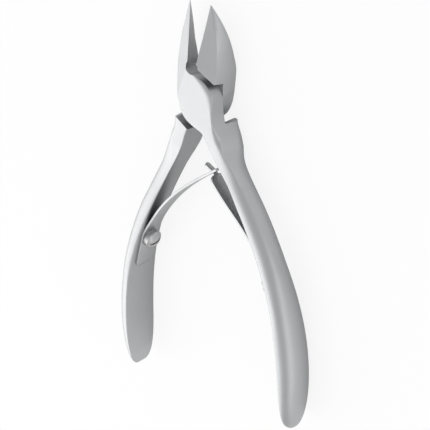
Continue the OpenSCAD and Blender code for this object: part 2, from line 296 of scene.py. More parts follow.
@dataclass(frozen=True)
class SteelFinish:
    """A bare stainless steel surface.

    Attributes:
        name: The metal and how its surface was made.
        colour: Lighter tone of the metal, sRGB.
        shade: Darker tone that clouds it, sRGB.
        roughness: Middle roughness.
        spread: How far the grain moves the roughness either way.
        grain_mm: Size of one grain of the pattern.
        grain_run: How many times longer than wide a grain is along Y.
        depth_mm: Height of the grain in the bump.
        cloud_mm: Size of the soft clouds in the tone.
        edge_mm: Radius to which tumbling has broken the edges.
    """

    name: str
    colour: str
    shade: str
    roughness: float
    spread: float
    grain_mm: float
    grain_run: float
    depth_mm: float
    cloud_mm: float
    edge_mm: float

    def material(self) -> bpy.types.Material:
        """Builds the material.

        Returns:
            A procedural metal on Object coordinates.
        """
        made = bpy.data.materials.new(self.name)
        made.use_nodes = True
        tree = made.node_tree
        tree.nodes.clear()
        place = add_node(tree, "ShaderNodeTexCoord").outputs["Object"]
        run = add_node(tree, "ShaderNodeMapping", Vector=place, Scale=(1.0, 1.0 / self.grain_run, 1.0))
        grain = add_node(
            tree,
            "ShaderNodeTexNoise",
            Vector=run.outputs["Vector"],
            Scale=1 / (self.grain_mm * MM),
            Detail=3.0,
            Roughness=0.6,
        )
        cloud = add_node(tree, "ShaderNodeTexNoise", Vector=place, Scale=1 / (self.cloud_mm * MM), Detail=2.0)
        rough = add_node(
            tree,
            "ShaderNodeMapRange",
            Value=grain.outputs["Fac"],
            From_Min=0.3,
            From_Max=0.7,
            To_Min=self.roughness - self.spread,
            To_Max=self.roughness + self.spread,
        )
        tone = add_node(tree, "ShaderNodeMix", {"data_type": "RGBA"}, in_0=cloud.outputs["Fac"])
        tone.inputs[6].default_value = linear(self.shade)
        tone.inputs[7].default_value = linear(self.colour)
        edge = add_node(tree, "ShaderNodeBevel", {"samples": 6}, Radius=self.edge_mm * MM)
        bump = add_node(
            tree,
            "ShaderNodeBump",
            Height=grain.outputs["Fac"],
            Strength=0.35,
            Distance=self.depth_mm * MM,
            Normal=edge.outputs["Normal"],
        )
        steel = add_node(
            tree,
            "ShaderNodeBsdfPrincipled",
            Base_Color=tone.outputs[2],
            Metallic=1.0,
            Roughness=rough.outputs["Result"],
            Normal=bump.outputs["Normal"],
        )
        add_node(tree, "ShaderNodeOutputMaterial", Surface=steel.outputs["BSDF"])
        return made


# Forged stainless, bead blasted and lightly polished: a pale, even satin with no sharp reflection.
# The grit is about 0.1 mm and is drawn twice as coarse, so that it shows at all.
SATIN_LEVER = SteelFinish(
    name="satin_blasted_stainless",
    colour="#B9BABB",
    shade="#B2B3B4",
    roughness=0.42,
    spread=0.05,
    grain_mm=0.2,
    grain_run=1.0,
    depth_mm=0.004,
    cloud_mm=9.0,
    edge_mm=0.15,
)
# Tempered strip, drawn through rollers: a little shinier, with fine marks along the leaf.
DRAWN_STRIP = SteelFinish(
    name="drawn_spring_stainless",
    colour="#BABBBC",
    shade="#B0B1B2",
    roughness=0.34,
    spread=0.06,
    grain_mm=0.12,
    grain_run=9.0,
    depth_mm=0.003,
    cloud_mm=5.0,
    edge_mm=0.08,
)
# Turned and barrel polished: the brightest of the three, almost without grain.
TURNED_SCREW = SteelFinish(
    name="turned_polished_stainless",
    colour="#BEBEBF",
    shade="#B5B5B6",
    roughness=0.36,
    spread=0.04,
    grain_mm=0.15,
    grain_run=1.0,
    depth_mm=0.002,
    cloud_mm=2.0,
    edge_mm=0.12,
)


# Levers


@dataclass
class Corner:
    """A corner of a section: its place, and how far its rounding runs along the edges before and after it."""

    x: float
    y: float
    z: float
    before: float
    after: float


def rounded(corners: list[Corner], steps: int) -> np.ndarray:
    """Draws a section through its corners, each rounded off by an arc of a circle or an ellipse.

    Args:
        corners: The corners in order.
        steps: How many pieces each rounding has.

    Returns:
        The section's points, one per row.
    """
    most, least_edge = 0.98, 1e-6
    spots = np.array([[c.x, c.y, c.z] for c in corners])
    edges = np.roll(spots, -1, axis=0) - spots
    lengths = np.maximum(np.linalg.norm(edges, axis=1), least_edge)
    wanted = np.array([c.after + corners[(i + 1) % len(corners)].before for i, c in enumerate(corners)])
    fit = np.minimum(1.0, most * lengths / wanted)
    t = np.linspace(0, 1, steps + 1)[:, None]
    pull = math.sqrt(0.5)
    rows = []
    for i, corner in enumerate(corners):
        first = spots[i] - edges[i - 1] / lengths[i - 1] * corner.before * fit[i - 1]
        last = spots[i] + edges[i] / lengths[i] * corner.after * fit[i]
        curve = (1 - t) ** 2 * first + 2 * pull * t * (1 - t) * spots[i] + t * t * last
        rows.append(curve / ((1 - t) ** 2 + 2 * pull * t * (1 - t) + t * t))
    return np.concatenate(rows)


def loft(name: str, rings: list[np.ndarray]) -> bpy.types.Object:
    """Skins a closed body over rings with the same number of points.

    Args:
        name: Name of the object.
        rings: The rings in order, each with one point per row.

    Returns:
        The body as an object.
    """
    bm = bmesh.new()
    grid = [[bm.verts.new(p) for p in ring] for ring in rings]
    n = len(grid[0])
    for low, high in zip(grid, grid[1:]):
        for i in range(n):
            j = (i + 1) % n
            bm.faces.new((low[i], low[j], high[j], high[i]))
    bm.faces.new(grid[0])
    bm.faces.new(grid[-1])
    bmesh.ops.remove_doubles(bm, verts=bm.verts, dist=WELD)
    bmesh.ops.recalc_face_normals(bm, faces=bm.faces)
    # A cut through a bent face of four corners can leave slivers, and through triangles it doesn't.
    bmesh.ops.triangulate(bm, faces=bm.faces)
    mesh = bpy.data.meshes.new(name)
    bm.to_mesh(mesh)
    bm.free()
    return new_object(name, mesh)


def round_block(name: str, profile: list[Point2], centre: Point2) -> bpy.types.Object:
    """Makes an upright round body from its radius at each height.

    Args:
        name: Name of the object.
        profile: Radius and height of each ring.
        centre: Its axis in plan.

    Returns:
        The body as an object.
    """
    turn = np.linspace(0, math.tau, ROUND_STEPS, endpoint=False)
    circle = np.stack([np.cos(turn), np.sin(turn)], axis=1)
    return loft(name, [np.column_stack([centre + r * circle, np.full(turn.shape, z)]) for r, z in profile])


# Right side of the lap in plan, from the jaw down, as far as it is the same on the front and on the back.
LAP_CROWN: tuple[Point2, ...] = (
    (-0.03, 7.4), (0.45, 7.25), (1.25, 6.95), (2.2, 6.45), (3.25, 5.75), (4.2, 4.9), (5.05, 3.8), (5.65, 2.6),
)


@dataclass
class Lever:
    """One forging: jaw, half lap and handle, drawn closed with the jaw on the left.

    All lengths are in millimetres and all angles in degrees.
    """

    name: str
    body: str
    node: str
    lap: LapSide
    # Joint: its thickness, the walls of the recess, the rivet and the relief notch above it.
    open_angle: float = 15.0
    joint_t: float = 7.7
    lap_gap: float = 0.04
    jaw_wall: float = 7.7
    jaw_wall_turn: float = 32.0
    step_dist: float = 6.7
    step_turn: float = 28.0
    step_end: float = 1.45
    step_end_r: float = 1.4
    recess_fillet: float = 0.15
    rivet_r: float = 2.0
    rivet_head_r: float = 3.0
    rivet_skin: float = 0.2
    relief_hole_r: float = 1.6
    relief_hole: Point2 = (0.95, 8.5)
    relief_hole_flare: float = 6.0
    # Jaw: its outline, the cutting edge, the face ground in front and the relieved face inside.
    tip_dist: float = 22.9
    jaw_low: float = 7.4
    jaw_root: float = 7.5
    jaw_w: float = 5.6
    jaw_curve: float = 2.1
    root_pull: float = 0.7
    jaw_hollow: float = 0.25
    hollow_at: float = 0.3
    hollow_run: float = 0.2
    tip_w: float = 0.25
    tip_depth: float = 0.15
    back_from: float = 7.6
    back_curve: float = 1.5
    edge_top: float = 9.07
    edge_z_tip: float = 0.2
    edge_rise: float = 1.12
    edge_gap: float = 0.06
    flat_slope: float = 0.576
    facet_tilt: float = 22.5
    tip_tilt: float = 0.6
    inner_relief: float = 30.0
    relief_from: float = 7.95
    relief_fade: float = 0.25
    relief_most: float = 0.7
    # Jaw's outer side and its edges: lean and roundings at the root and at the tip, and the most they take
    # of the width. The land beside the cutting edge is a share of the width.
    side_lean: Point2 = (0.8, 1.3)
    lean_most: float = 0.4
    lean_left: float = 0.1
    side_break: float = 0.45
    back_soft: Point2 = (0.5, 1.2)
    back_most: float = 0.45
    edge_land: Point2 = (0.03, 0.18)
    edge_land_by: float = 0.2
    edge_soft: float = 0.12
    edge_soft_most: float = 0.1
    facet_soft: float = 1.6
    # Roundings that are hardly there, and one that takes as much of its edges as it can.
    crisp: float = 0.03
    faint: float = 0.05
    full: float = 9.0
    # Handle: its middle line, and thickness and depth at places along it.
    handle_curve: np.ndarray = field(
        default_factory=lambda: np.array([[3.8, 0.0], [0.9, -17.3], [26.9, -36.2], [14.8, -77.5]])
    )
    root_t: float = 3.9
    shoulder_t: float = 5.0
    neck_t: float = 4.1
    grip_t: float = 3.8
    root_depth: float = 7.7
    neck_depth: float = 5.9
    grip_depth: float = 9.5
    handle_from: float = 12.0
    shoulder_at: float = 11.0
    neck_at: float = 21.0
    roll_from: float = 11.5
    roll_to: float = 18.0
    soft_at: float = 36.0
    grip_at: float = 64.0
    end_round: float = 17.0
    end_round_power: float = 2.9
    end_taper: float = 20.0
    end_taper_power: float = 2.4
    # Roundings of the handle's outer edges at the root, the neck and the grip, as shares of half the depth
    # and of the thickness, and of the inner back edge as the same shares.
    side_soft: tuple[float, float, float] = (0.45, 0.9, 0.97)
    face_soft: tuple[float, float, float] = (0.2, 0.55, 0.9)
    hind_soft: Point2 = (0.1, 0.06)
    # Rounding of the inner front edge away from the spring's seat and beside it, as the same shares.
    lip_side: Point2 = (0.05, 0.1)
    lip_face: Point2 = (0.05, 0.24)
    # Where the front face turns into the outer rounding, as shares of the thickness from the inner side.
    break_root: float = 0.5
    break_neck: float = 0.2
    break_grip: float = 0.1
    break_seat: float = 0.25
    # How far the outer side stands in (-) or out (+) by distance along the handle, on the front and on the
    # back, and how far these tables are averaged.
    front_side: tuple[Point2, ...] = (
        (0.0, -0.8), (8.0, -0.9), (11.0, -1.2), (13.0, -1.1), (16.0, -0.7), (20.0, -0.85), (25.0, -0.95),
        (30.0, -0.85), (34.0, -0.5), (38.0, -0.25), (44.0, 0.0),
    )
    back_side: tuple[Point2, ...] = (
        (0.0, 0.0), (6.0, 0.5), (9.0, 0.6), (11.0, 0.3), (13.0, -0.1), (16.0, -0.35), (20.0, -0.3),
        (25.0, -0.15), (32.0, 0.0),
    )
    blur: float = 1.5
    # The crease along the outer side, by distance along the handle: how sharp it is, and its height as a
    # share of half the depth. It leaves the front edge and runs down the side, with a bulge behind it.
    crease: tuple[Point2, ...] = ((11.5, 0.0), (14.0, 0.55), (16.5, 1.0), (26.0, 1.0), (40.0, 0.0))
    crease_z: tuple[Point2, ...] = (
        (11.5, 0.93), (14.0, 0.8), (17.0, 0.62), (21.0, 0.48), (32.0, 0.4), (46.0, 0.0),
    )
    crease_in: float = 0.15
    crease_soft: float = 0.1
    bulge: float = 1.3
    # How far the front's inner edge stands back from the inner side, by distance along the handle.
    neck_set: tuple[Point2, ...] = ((0.0, 0.0), (30.0, 0.0))
    # The spring's seat: where its screw is, how deep it is cut, the room it leaves under the screw's head,
    # and where its edges start to show, end and have gone.
    seat_at: float = 46.5
    seat_cut: float = 0.08
    leaf_t: float = 0.7
    seat_from: float = 30.0
    seat_to: float = 48.0
    seat_end: float = 60.0
    # Lap: its right side in plan on the front face and on the back face, its edge rounding by height, with
    # the shares of that down the side and over the face, and its heel in plan.
    lap_front: tuple[Point2, ...] = (
        *LAP_CROWN, (5.92, 1.6), (5.75, 0.3), (5.5, -0.9), (5.3, -1.9), (5.1, -3.3), (5.05, -4.7),
        (5.2, -5.7), (5.8, -7.85),
    )
    lap_back: tuple[Point2, ...] = (
        *LAP_CROWN, (5.95, 1.2), (6.0, 0.0), (5.8, -2.0), (6.0, -3.8), (6.1, -5.2), (6.4, -6.1), (6.9, -7.0),
        (7.43, -8.0), (7.75, -9.0),
    )
    lap_round: tuple[Point2, ...] = (
        (-11.0, 1.0), (-8.0, 1.0), (-6.0, 0.5), (-4.7, 0.15), (-3.3, 0.2), (-1.9, 0.4), (-0.7, 0.65),
        (1.6, 1.3), (4.6, 1.1), (5.8, 0.9), (6.8, 0.3), (7.4, 0.05),
    )
    lap_soft: Point2 = (0.5, 1.3)
    heel: tuple[Point2, ...] = (
        (-5.4, 2.0), (-5.3, 0.8), (-5.1, -0.2), (-4.8, -1.2), (-4.35, -2.4), (-3.3, -3.95), (-1.8, -5.1),
        (-0.2, -6.0), (1.1, -6.7),
    )
    heel_from: float = 3.0
    heel_to: float = 8.6
    heel_soft: Point2 = (0.18, 0.5)
    heel_back: float = 0.25
    land_w: float = 1.3
    land_margin: float = 0.03
    # Stretches of the joint over which one form gives way to the next, from 0 at the jaw to 1 at the handle.
    jaw_ends: Point2 = (0.0, 0.25)
    lean_ends: Point2 = (0.28, 0.53)
    land_grows: Point2 = (0.3, 0.5)
    land_centres: Point2 = (0.3, 0.7)
    heel_softens: Point2 = (0.36, 0.52)
    handle_grows: Point2 = (0.6, 1.0)
    # How many sections the loft has, and the pieces of each rounding.
    jaw_steps: int = 70
    lap_steps: int = 100
    grip_steps: int = 90
    end_steps: int = 24
    round_steps: int = 8

    def __post_init__(self) -> None:
        """Works out the arc lengths along the handle."""
        t = np.linspace(0, 1, 321)
        spots = np.array([bezier(self.handle_curve, k) for k in t])
        self.arc_t = t
        self.arc = np.concatenate([[0.0], np.cumsum(np.linalg.norm(np.diff(spots, axis=0), axis=1))])
        self.handle_len = float(self.arc[-1])
        self.half_t = self.joint_t / 2

    # Handle

    def handle_mid(self, s: float) -> np.ndarray:
        """Gives the middle of the handle at a distance along it."""
        return bezier(self.handle_curve, float(np.interp(s, self.arc, self.arc_t)))

    def handle_down(self, s: float) -> np.ndarray:
        """Gives the direction down the handle."""
        return bezier_dir(self.handle_curve, float(np.interp(s, self.arc, self.arc_t)))

    def handle_out(self, s: float) -> np.ndarray:
        """Gives the direction across the handle, outwards."""
        return turned(tuple(self.handle_down(s)), 90)

    def round_off(self, s: float, length: float, power: float) -> float:
        """Gives the share of its size that the handle keeps near its round end."""
        k = max(0.0, (s - self.handle_len + length) / length)
        return max(0.0, 1 - k**power) ** (1 / power)

    def handle_t(self, s: float) -> float:
        """Gives the handle's thickness, seen from the front.

        Args:
            s: Distance along the handle.

        Returns:
            The thickness.
        """
        if s < self.shoulder_at:
            t = mix(self.root_t, self.shoulder_t, ease(s / self.shoulder_at))
        elif s < self.neck_at:
            t = mix(self.shoulder_t, self.neck_t, fade(s, self.shoulder_at, self.neck_at))
        else:
            t = mix(self.neck_t, self.grip_t, fade(s, self.neck_at, self.grip_at))
        return t * self.round_off(s, self.end_taper, self.end_taper_power)

    def handle_depth(self, s: float) -> float:
        """Gives the handle's depth, front to back.

        Args:
            s: Distance along the handle.

        Returns:
            The depth.
        """
        deep_to = self.shoulder_at / 2
        if s < self.neck_at:
            d = mix(self.root_depth, self.neck_depth, fade(s, deep_to, self.neck_at))
        else:
            d = mix(self.neck_depth, self.grip_depth, fade(s, self.neck_at, self.grip_at))
        return d * self.round_off(s, self.end_round, self.end_round_power)

    def handle_side(self, s: float, outer: float) -> np.ndarray:
        """Gives a side of the handle in plan, from -1 for the inner one to 1 for the outer one."""
        return self.handle_mid(s) + self.handle_out(s) * self.handle_t(s) / 2 * outer

    def handle_section(self, s: float) -> list[Corner]:
        """Draws the handle's section: flat inside, and half an ellipse outside at the grip.

        Args:
            s: Distance along the handle.

        Returns:
            Seven corners from the outer front one round the section.
        """
        t, h = self.handle_t(s), self.handle_depth(s) / 2
        inner, outer, across = self.handle_side(s, -1), self.handle_side(s, 1), self.handle_out(s)
        tables = (self.front_side, self.back_side, self.crease, self.crease_z)
        front_out, back_out, fold, fold_z = (looked_up(table, s, self.blur) for table in tables)
        root_side, neck_side, grip_side = self.side_soft
        root_face, neck_face, grip_face = self.face_soft
        neck, grip = fade(s, self.handle_from, self.neck_at), fade(s, self.neck_at, self.soft_at)
        roll = fade(s, self.roll_from, self.roll_to)
        seat = fade(s, self.neck_at, self.seat_from) * (1 - fade(s, self.seat_to, self.seat_end))
        side = mix(mix(mix(root_side, neck_side, neck), grip_side, grip), grip_side * (1 + fold_z), fold) * h
        face = mix(mix(root_face, neck_face, neck), grip_face, grip) * t
        deep = mix(face, grip_face * t, fold)
        front = outer + across * front_out
        back = outer + across * back_out + across * self.bulge * fold
        crease = mix(back, front, (1 + fold_z) / 2) - across * self.crease_in * fold
        set_back = across * float(np.interp(s, *zip(*self.neck_set)))
        lip_z, lip_x = mix(*self.lip_side, seat) * h, mix(*self.lip_face, seat) * t
        turn_in = mix(mix(self.break_neck, self.break_grip, grip), self.break_seat, seat)
        break_at = inner + across * t * mix(self.break_root, turn_in, roll)
        hind_z, hind_x = self.hind_soft
        return [
            Corner(*front, h, mix(root_side, grip_side, roll) * h, mix(root_face, grip_face, roll) * t),
            Corner(*break_at, h, self.crisp, self.crisp),
            Corner(*(inner + set_back), h, lip_x, lip_z),
            Corner(*(inner + set_back / 2), 0.0, self.faint, self.faint),
            Corner(*inner, -h, hind_z * h, hind_x * t),
            Corner(*back, -h, deep, side),
            Corner(*crease, fold_z * h, self.crease_soft, self.crease_soft),
        ]

    # Jaw

    def jaw_outer(self, y: float) -> float:
        """Gives the distance from the edge plane to the jaw's outer side.

        Args:
            y: Distance from the pivot.

        Returns:
            The distance.
        """
        up = (y - self.jaw_root) / (self.tip_dist - self.jaw_root)
        hollow = self.jaw_hollow * math.exp(-(((up - self.hollow_at) / self.hollow_run) ** 2))
        straight = mix(self.jaw_w, self.tip_w, max(0.0, up) ** self.jaw_curve)
        return straight - hollow - self.root_pull * min(0.0, up) ** 2

    def flat_line(self, y: float) -> float:
        """Gives how far from the edge plane the ground face starts below the cutting edge."""
        return self.flat_slope * max(0.0, self.edge_top - y)

    def ground_face(self, out: float, y: float) -> float:
        """Gives the height of the jaw's front.

        Args:
            out: Distance from the edge plane.
            y: Distance from the pivot.

        Returns:
            The height of the ground face, or of the flat face between it and the edge plane.
        """
        low = min(1.0, max(0.0, (self.tip_dist - y) / (self.tip_dist - self.edge_top)))
        top = mix(self.edge_z_tip, self.half_t, low**self.edge_rise)
        tilt = math.tan(math.radians(self.facet_tilt * mix(self.tip_tilt, 1.0, low)))
        return top - max(0.0, out - self.flat_line(y)) * tilt

    def jaw_section(self, y: float) -> list[Corner]:
        """Draws the jaw's section: edge, ground face, outer side, back and relieved inner face.

        Args:
            y: Distance from the pivot.

        Returns:
            Seven corners from the cutting edge round the section.
        """
        k = max(0.0, (y - self.edge_top) / (self.tip_dist - self.edge_top))
        inner, outer = self.edge_gap / 2, self.jaw_outer(y)
        width = outer - inner
        lean = min(mix(*self.side_lean, k), self.lean_most * width)
        land = mix(*self.edge_land, ease(k / self.edge_land_by)) * width
        flat = max(inner + land, self.flat_line(y))
        top, fold_z = self.ground_face(inner, y), self.ground_face(outer - lean, y)
        thinned = max(0.0, (y - self.back_from) / (self.tip_dist - self.back_from)) ** self.back_curve
        back = mix(-self.half_t, self.edge_z_tip - self.tip_depth, thinned)
        relief = (top - back) * math.tan(math.radians(self.inner_relief))
        relief *= 1 - ease((self.relief_from - y) / self.relief_fade)
        hind = inner + min(relief, self.relief_most * width)
        corner = min(mix(*self.back_soft, ease(2 * k)), self.back_most * (outer - hind))
        small = min(self.edge_soft, self.edge_soft_most * width)
        facet = small * self.facet_soft
        side_x, side_z = outer - lean * self.lean_left, mix(fold_z, back, self.side_break)
        return [
            Corner(-inner, y, top, self.crisp, self.crisp),
            Corner(-flat, y, self.ground_face(flat, y), small, small),
            Corner(-(outer - lean), y, fold_z, facet, facet),
            Corner(-side_x, y, side_z, self.full, self.full),
            Corner(-outer, y, back, corner, corner),
            Corner(-hind, y, back, small, small),
            Corner(-(inner + hind) / 2, y, (top + back) / 2, self.faint, self.faint),
        ]

    # Joint

    def rails(self) -> list[np.ndarray]:
        """Draws the sides of the joint in plan, from the jaw to the handle.

        Returns:
            The heel's side, and the lap's side on the front and on the back, as polylines.
        """
        last = self.handle_section(self.handle_from)
        heel = [(-self.jaw_outer(y), y) for y in np.linspace(self.jaw_low, self.heel_from, 8)]
        heel += self.heel
        heel += [tuple(self.handle_side(s, -1)) for s in np.linspace(self.heel_to, self.handle_from, 4)]
        front = [*self.lap_front, (last[0].x, last[0].y)]
        back = [*self.lap_back, (last[5].x, last[5].y)]
        return [softened(np.array(line), samples=161, width=6) for line in (heel, front, back)]

    def lap_section(self, share: float, rails: list[np.ndarray]) -> list[Corner]:
        """Draws a section through the joint between its two sides.

        Args:
            share: From 0 at the jaw to 1 at the handle.
            rails: The sides from rails().

        Returns:
            Seven corners from the lap's front edge round the section.
        """
        jaw, handle = self.jaw_section(self.jaw_low), self.handle_section(self.handle_from)
        out_front, lip, lip_back, out_back, out_crease = handle[0], handle[2], handle[4], handle[5], handle[6]
        left, near, hind = (along(rail, share) for rail in rails)
        span = near - left
        length = float(np.linalg.norm(span))
        across = span / length
        to_lap, to_handle = fade(share, *self.jaw_ends), fade(share, *self.handle_grows)
        # The front's inner edge: it leans in like the jaw's outer side, then stands back like the handle's.
        lean = self.side_lean[0] * (1 - fade(share, *self.lean_ends))
        set_back = (np.array([lip.x, lip.y]) - rails[0][-1]) * to_handle
        fold = left + across * lean + set_back
        fold_z = self.ground_face(-float(fold[0]), float(fold[1])) if fold[0] < 0 else self.half_t
        middle = left + across * self.side_lean[0] * self.lean_left * (1 - to_lap) + set_back / 2
        # The ground face ends where its lower line crosses this section.
        slope = self.flat_slope
        meet = -(left[0] + slope * (self.edge_top - left[1])) / (span[0] - slope * span[1])
        least = (lean + self.land_w * fade(share, *self.land_grows)) / length + self.land_margin
        flat_at = min(max(meet, least), 1 - self.land_margin)
        flat = left + span * mix(flat_at, 0.5, fade(share, *self.land_centres))
        half_way = np.array([out_front.x + out_back.x, out_front.y + out_back.y]) / 2
        crease = (near + hind) / 2 + (np.array([out_crease.x, out_crease.y]) - half_way) * to_handle
        front_z, back_z = mix(self.half_t, out_front.z, to_handle), mix(-self.half_t, out_back.z, to_handle)
        down_side, over_face = (k * float(np.interp(near[1], *zip(*self.lap_round))) for k in self.lap_soft)
        under = float(np.interp(hind[1], *zip(*self.lap_round)))
        land_soft = mix(self.edge_soft, self.crisp, to_handle)
        heel_soft = mix(*self.heel_soft, fade(share, *self.heel_softens))
        heel_back = mix(jaw[4].before, self.heel_back, to_lap)
        side = mix(self.full, self.faint, to_lap)

        def grown_to(end: Corner, before: float, after: float) -> Point2:
            """Gives a corner's roundings on the way to those of the handle's corner."""
            return mix(before, end.before, to_handle), mix(after, end.after, to_handle)

        return [
            Corner(*near, front_z, *grown_to(out_front, down_side, over_face)),
            Corner(*flat, front_z, land_soft, land_soft),
            Corner(*fold, mix(fold_z, out_front.z, to_handle), *grown_to(lip, heel_soft, heel_soft)),
            Corner(*middle, mix(jaw[3].z, 0.0, to_lap), side, side),
            Corner(*left, back_z, *grown_to(lip_back, heel_back, heel_back)),
            Corner(*hind, back_z, *grown_to(out_back, under, under)),
            Corner(*crease, out_crease.z * to_handle, self.faint, self.faint),
        ]

    def stations(self) -> list[list[Corner]]:
        """Lists the sections from the jaw's tip to the handle's end.

        Returns:
            The corners of each section.
        """
        rails = self.rails()
        straight = self.handle_len - self.end_round
        rise = [math.sin(math.pi / 2 * (1 - i / self.jaw_steps)) for i in range(self.jaw_steps + 1)]
        # The last section stops just short of the end, where it would be a point.
        close = [math.sin(math.radians(89 * i / self.end_steps)) for i in range(1, self.end_steps + 1)]
        sections = [self.jaw_section(mix(self.jaw_low, self.tip_dist, k)) for k in rise]
        sections += [self.lap_section(i / self.lap_steps, rails) for i in range(1, self.lap_steps)]
        places = [mix(self.handle_from, straight, i / self.grip_steps) for i in range(self.grip_steps + 1)]
        places += [straight + self.end_round * k for k in close]
        return sections + [self.handle_section(s) for s in places]

    # Cutters

    def recess_outline(self, inset: float) -> np.ndarray:
        """Draws the room for the other lever's lap in plan.

        Args:
            inset: How far its two walls stand closer to the pivot.

        Returns:
            The outline, one point per row.
        """
        reach = 40.0
        up, down = heading(90 + self.jaw_wall_turn), heading(-90 + self.step_turn)
        wall_dir, step_dir = heading(self.jaw_wall_turn), heading(self.step_turn)
        wall, step = up * (self.jaw_wall - inset), down * (self.step_dist - inset)
        points = [wall - wall_dir * reach, step - step_dir * reach]
        for a in np.linspace(0, math.pi / 2, 7):
            bend = self.step_end_r * np.array([math.sin(a), 1 - math.cos(a)])
            points.append(step + step_dir * (self.step_end + bend[0]) + down * bend[1])
        points += [points[-1] + down * reach, wall + wall_dir * reach]
        return np.array(points)

    def cutters(self) -> list[bpy.types.Object]:
        """Makes everything that is cut out of the forging: recess, rivet hole and relief notch.

        Returns:
            The cutters as objects.
        """
        r, floor, far = self.recess_fillet, self.lap_gap / 2, 20.0
        levels = [(r * (1 - math.sin(a)), r * (1 - math.cos(a))) for a in np.linspace(0, math.pi / 2, 6)]
        rings = []
        for inset, depth in [*levels, (0.0, far)]:
            plan = self.recess_outline(inset)
            rings.append(np.column_stack([plan, np.full(len(plan), (floor - depth) * self.lap.value)]))
        recess = loft("recess_cut", rings)
        rivet = round_block("rivet_cut", self.rivet_profile(0.0), (0, 0))
        # The front lever's hole opens towards the back, so that its rim hides the edge of the other one.
        wider = math.tan(math.radians(self.relief_hole_flare)) if self.lap is LapSide.FRONT else 0.0
        past = self.half_t + 1.0
        drill = [(self.relief_hole_r + wider * (self.half_t - z), z) for z in (-past, past)]
        return [recess, rivet, round_block("relief_cut", drill, self.relief_hole)]

    def rivet_profile(self, play: float) -> list[Point2]:
        """Draws the rivet's radius by height: a waist between two cones that end under the ground faces.

        Args:
            play: Its clearance in its hole.

        Returns:
            Radius and height of each ring.
        """
        r, top = self.rivet_r - play, self.half_t - self.rivet_skin - play
        # The cones lose the play twice, since the heads also end lower by it.
        wide = self.rivet_head_r - 2 * play
        cone = wide - r
        return [(wide, -top), (r, cone - top), (r, top - cone), (wide, top)]

    # Places for the spring and its screw

    def on_seat(self, x: float, y: float) -> np.ndarray:
        """Turns a point of the spring's seat into the lever's plan.

        Args:
            x: Distance from the seat, inwards.
            y: Distance from the middle of the seat, down the handle.

        Returns:
            The point.
        """
        inset = self.handle_t(self.seat_at) / 2 - self.seat_cut
        seat = self.handle_mid(self.seat_at) - self.handle_out(self.seat_at) * inset
        return seat + turned((x, y), self.seat_turn())

    def seat_turn(self) -> float:
        """Gives the turn of the spring's seat in plan."""
        down = self.handle_down(self.seat_at)
        return math.degrees(math.atan2(down[1], down[0])) - 90

    def rest(self) -> Matrix:
        """Gives the matrix from the closed drawing in millimetres to the rest pose in metres.

        Returns:
            The matrix.
        """
        half = math.radians(self.open_angle / 2)
        lift = Matrix.Translation((0, 0, self.half_t))
        if self.lap is LapSide.FRONT:
            turn = Matrix.Rotation(half, 4, "Z")
        else:
            turn = Matrix.Rotation(-half, 4, "Z") @ Matrix.Diagonal((-1, 1, 1, 1))
        return Matrix.Scale(MM, 4) @ lift @ turn

    def settle(self, mesh: bpy.types.Mesh, place: Matrix) -> None:
        """Moves a mesh from the closed drawing to the rest pose.

        Args:
            mesh: The mesh in millimetres.
            place: Where the mesh goes in the closed drawing.
        """
        move = self.rest() @ place
        mesh.transform(move)
        if move.is_negative:
            mesh.flip_normals()

    def build(self, finish: bpy.types.Material) -> bpy.types.Object:
        """Builds the lever in its rest pose and lets it stand for its CAD node.

        Args:
            finish: The lever's material.

        Returns:
            The finished piece.
        """
        obj = loft(self.name, [rounded(corners, self.round_steps) for corners in self.stations()])
        cutters = self.cutters()
        for cutter in cutters:
            cut = obj.modifiers.new(cutter.name, "BOOLEAN")
            cut.operation, cut.solver, cut.object = "DIFFERENCE", "EXACT", cutter
        mesh = applied(obj)
        for cutter in cutters:
            bpy.data.objects.remove(cutter)
        tidied(mesh, merge=2 * WELD, sharp_deg=32)
        self.settle(mesh, Matrix.Identity(4))
        weigh = obj.modifiers.new("weighted_normals", "WEIGHTED_NORMAL")
        weigh.keep_sharp, weigh.weight = True, 80
        mesh = applied(obj)
        mesh.name = self.name
        mesh.materials.clear()
        mesh.materials.append(finish)
        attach(obj, self.body)
        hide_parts(self.node)
        return obj


@dataclass
class PivotRivet:
    """The rivet, headed over and ground away with the faces of the joint until its rim no longer shows."""

    name: str
    node: str
    lever: Lever
    play: float = 0.01

    def build(self, finish: bpy.types.Material) -> bpy.types.Object:
        """Builds the rivet in its hole.

        Args:
            finish: The rivet's material.

        Returns:
            The finished piece.
        """
        obj = round_block(self.name, self.lever.rivet_profile(self.play), (0, 0))
        tidied(obj.data, merge=WELD, sharp_deg=30)
        self.lever.settle(obj.data, Matrix.Identity(4))
        obj.data.materials.append(finish)
        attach(obj, self.lever.body)
        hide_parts(self.node)
        return obj


# Springs and screws


def node_group(
    name: str, sizes: dict[str, float], extra: dict[str, str]
) -> tuple[bpy.types.NodeTree, bpy.types.Node]:
    """Starts a geometry node tree with a named input for each size.

    Args:
        name: Name of the tree.
        sizes: Size inputs with their defaults.
        extra: Other inputs and their socket types.

    Returns:
        The tree and its group input node.
    """
    tree = bpy.data.node_groups.new(name, "GeometryNodeTree")
    tree.interface.new_socket("Geometry", in_out="OUTPUT", socket_type="NodeSocketGeometry")
    tree.interface.new_socket("Geometry", in_out="INPUT", socket_type="NodeSocketGeometry")
    for label, value in sizes.items():
        socket = tree.interface.new_socket(label, in_out="INPUT", socket_type="NodeSocketFloat")
        socket.default_value = value
    for label, kind in extra.items():
        tree.interface.new_socket(label, in_out="INPUT", socket_type=kind)
    return tree, tree.nodes.new("NodeGroupInput")


